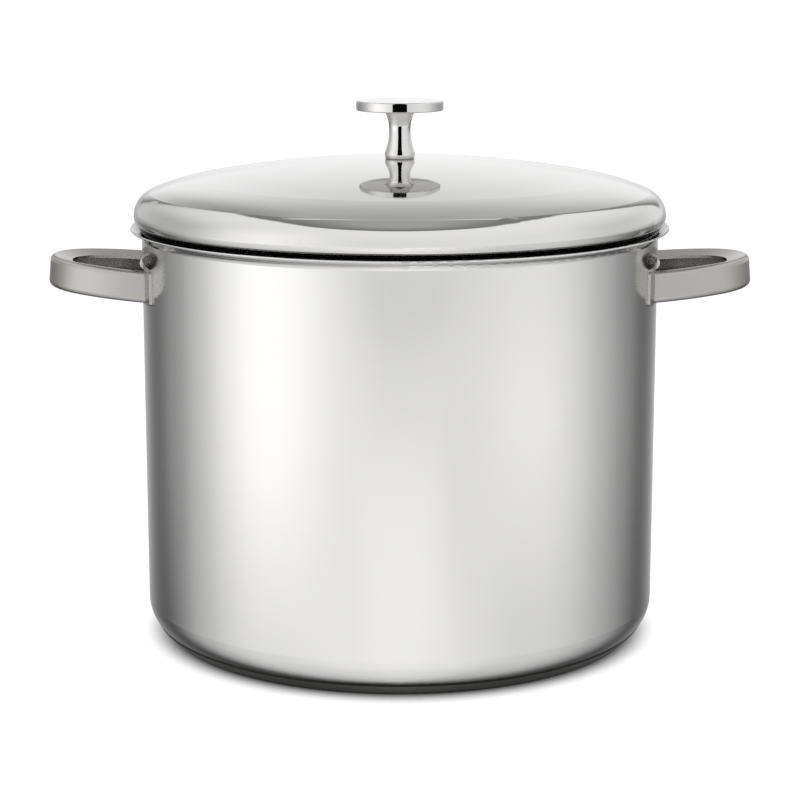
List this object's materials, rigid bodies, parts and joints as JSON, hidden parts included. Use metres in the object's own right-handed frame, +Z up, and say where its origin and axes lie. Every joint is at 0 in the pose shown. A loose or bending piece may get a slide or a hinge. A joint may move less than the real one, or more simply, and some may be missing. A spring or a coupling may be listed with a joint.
{
  "type": "water bath canner",
  "caption": "Stainless stockpot with a clad base, side loop handles, a domed knob lid and a lift-out wire jar rack for water bath canning.",
  "frame": {"origin": "centre of the base's underside, on the surface that the canner stands on", "axes": "+Z up along the pot's axis, X through the two loop handles, -Y towards the front"},
  "size_m": [0.42, 0.3201, 0.3201],
  "materials": {
    "pot_steel": "polished satin",
    "base_steel": "satin",
    "core_aluminium": "matte",
    "handle_steel": "satin",
    "lid_steel": "mirror polished",
    "knob_steel": "mirror polished",
    "fixing_steel": "plain",
    "rack_wire": "bright wire"
  },
  "bodies": {
    "pot": {"pot_body": "pot_steel", "base_cap": "base_steel", "base_core": "core_aluminium", "handle_plate_right": "handle_steel", "pot_handle_right": "handle_steel", "handle_plate_left": "handle_steel", "pot_handle_left": "handle_steel"},
    "lid": {"lid_shell": "lid_steel", "knob_disc": "knob_steel", "knob_stem": "knob_steel", "knob_washer": "fixing_steel", "knob_screw": "fixing_steel"},
    "rack": {"rack_base_ring": "rack_wire", "rack_hub_ring": "rack_wire", "rack_center_ring": "rack_wire", "rack_top_ring": "rack_wire", "rack_spoke_1": "rack_wire", "rack_spoke_2": "rack_wire", "rack_spoke_3": "rack_wire", "rack_spoke_4": "rack_wire", "rack_spoke_5": "rack_wire", "rack_spoke_6": "rack_wire", "rack_spoke_7": "rack_wire", "rack_spoke_8": "rack_wire", "rack_spoke_9": "rack_wire", "rack_spoke_10": "rack_wire", "rack_spoke_11": "rack_wire", "rack_spoke_12": "rack_wire", "rack_post_1": "rack_wire", "rack_inner_post_1": "rack_wire", "jar_divider_1": "rack_wire", "rack_post_2": "rack_wire", "rack_inner_post_2": "rack_wire", "jar_divider_2": "rack_wire", "rack_post_3": "rack_wire", "rack_inner_post_3": "rack_wire", "jar_divider_3": "rack_wire", "rack_post_4": "rack_wire", "rack_inner_post_4": "rack_wire", "jar_divider_4": "rack_wire", "rack_post_5": "rack_wire", "rack_inner_post_5": "rack_wire", "jar_divider_5": "rack_wire", "rack_post_6": "rack_wire", "rack_inner_post_6": "rack_wire", "jar_divider_6": "rack_wire", "hinge_eye_right_front": "rack_wire", "hinge_eye_right_back": "rack_wire", "hinge_eye_left_front": "rack_wire", "hinge_eye_left_back": "rack_wire"},
    "rack_handle_right": {"rack_handle_right": "rack_wire"},
    "rack_handle_left": {"rack_handle_left": "rack_wire"}
  },
  "joints": [
    {"name": "lid_lift", "type": "slide", "parent": "pot", "child": "lid", "axis": [0, 0, 1], "range_m": [0, 0.3]},
    {"name": "rack_lift", "type": "slide", "parent": "pot", "child": "rack", "axis": [0, 0, 1], "range_m": [0, 0.25]},
    {"name": "rack_handle_right_hinge", "type": "hinge", "parent": "rack", "child": "rack_handle_right", "pos_m": [0.138, 0, 0.0212], "axis": [0, -1, 0], "range_deg": [0, 43]},
    {"name": "rack_handle_left_hinge", "type": "hinge", "parent": "rack", "child": "rack_handle_left", "pos_m": [-0.138, 0, 0.0212], "axis": [0, 1, 0], "range_deg": [0, 43]}
  ],
  "couplings": [
    {"joint": "rack_lift", "follows": "lid_lift", "ratio": 0.83333}
  ]
}
